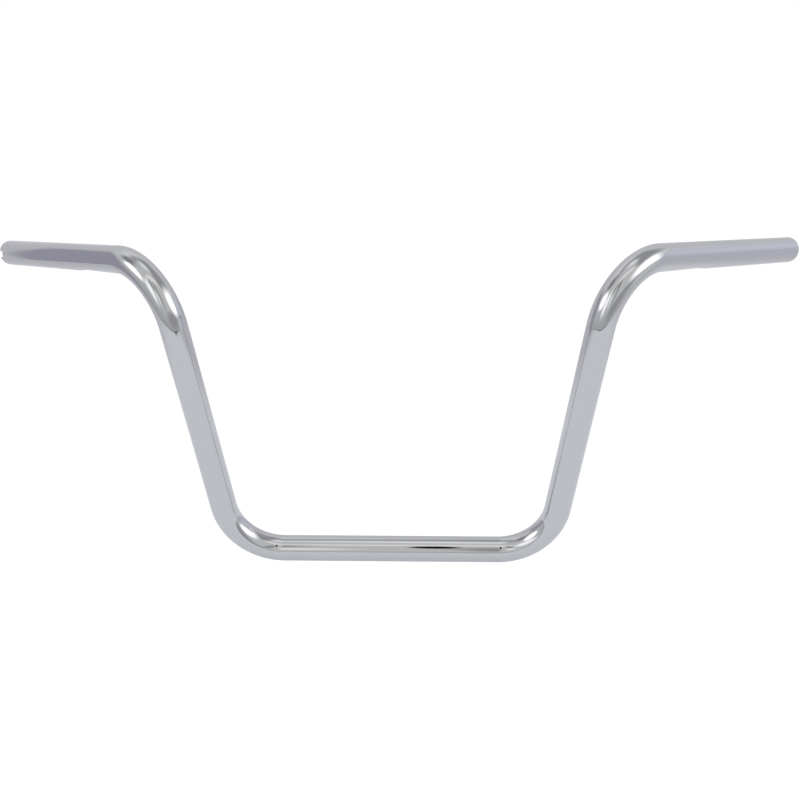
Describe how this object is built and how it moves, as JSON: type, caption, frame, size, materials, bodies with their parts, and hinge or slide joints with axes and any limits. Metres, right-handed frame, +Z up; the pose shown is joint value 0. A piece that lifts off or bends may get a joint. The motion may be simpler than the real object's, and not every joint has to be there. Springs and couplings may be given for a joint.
{
  "type": "motorcycle handlebar",
  "caption": "Tall chrome tube handlebar: a straight clamp section, flared legs, and grip ends swept back to the rider, with wiring reliefs and a throttle sensor notch.",
  "frame": {"origin": "middle of the clamp section, on the axis of the tube", "axes": "+X to the rider's left along the clamp section, +Y back towards the rider, +Z up in the plane of the clamp section and the legs"},
  "size_m": [0.8297, 0.2045, 0.3126],
  "materials": {
    "chrome_plate": "mirror polished chrome plate over steel tube"
  },
  "bodies": {
    "root": {"clamp_section": "chrome_plate", "lower_bend_left": "chrome_plate", "leg_left": "chrome_plate", "upper_bend_left": "chrome_plate", "grip_end_left": "chrome_plate", "lower_bend_right": "chrome_plate", "leg_right": "chrome_plate", "upper_bend_right": "chrome_plate", "grip_end_right": "chrome_plate"}
  },
  "joints": []
}
